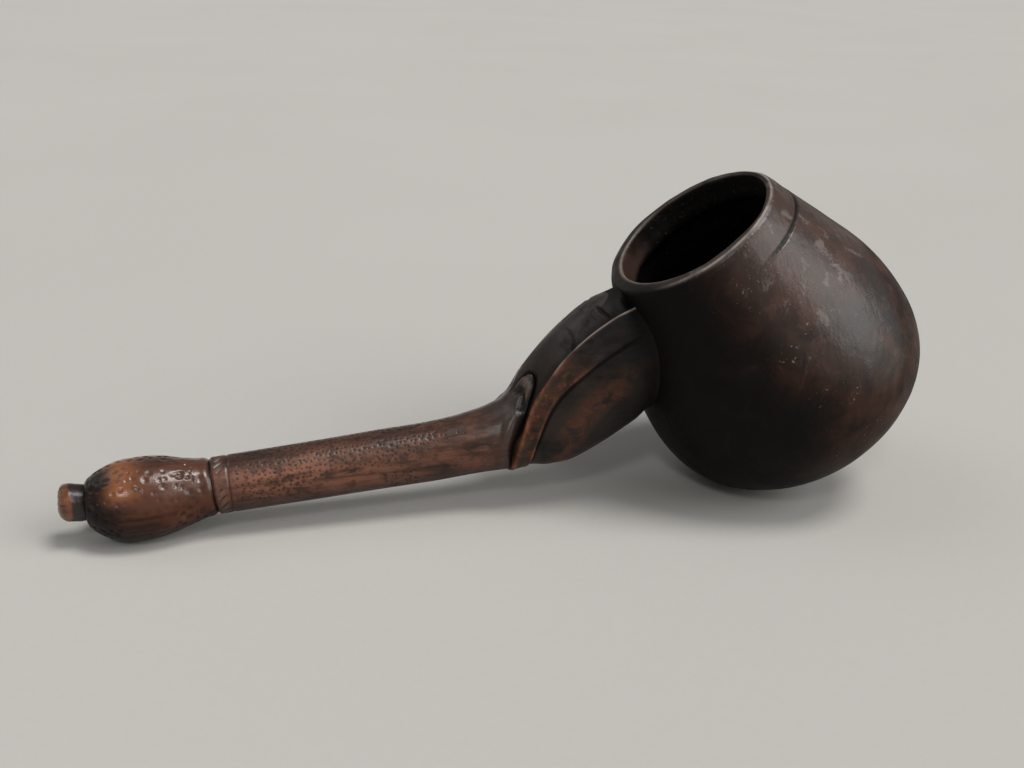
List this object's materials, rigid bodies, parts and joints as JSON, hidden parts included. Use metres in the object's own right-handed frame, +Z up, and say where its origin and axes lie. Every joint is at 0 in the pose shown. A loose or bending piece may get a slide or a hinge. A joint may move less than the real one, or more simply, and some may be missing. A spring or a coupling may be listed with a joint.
{
  "type": "wooden dipper",
  "caption": "Carved wooden dipper: a round hollow bowl with a turned-in mouth on a long stippled handle, joined by a leaf-carved neck and ended by a pear-shaped knob.",
  "frame": {"origin": "centre of the bounding box at the table, under the dipper as it lies at rest on its bowl and end knob", "axes": "+Z up; +X from the end knob towards the bowl; the object is symmetric about the XZ plane"},
  "size_m": [0.3548, 0.12, 0.1358],
  "materials": {
    "bowl_wood": "dark oiled and smoke-blackened wood, semi-gloss with worn reddish-brown patches",
    "neck_wood": "dark oiled carved wood, orange-brown where edges are worn",
    "handle_wood": "reddish-brown hand-polished wood with dark punch marks",
    "knob_wood": "dark reddish-brown polished wood with dimples, blackened at the tip",
    "peg_wood": "worn orange-brown end grain",
    "hidden_wood": "plain unfinished wood"
  },
  "bodies": {
    "root": {"bowl": "bowl_wood", "neck_bracket": "neck_wood", "handle_shaft": "handle_wood", "end_knob": "knob_wood", "end_peg": "peg_wood", "neck_dowels": "hidden_wood"}
  },
  "joints": []
}
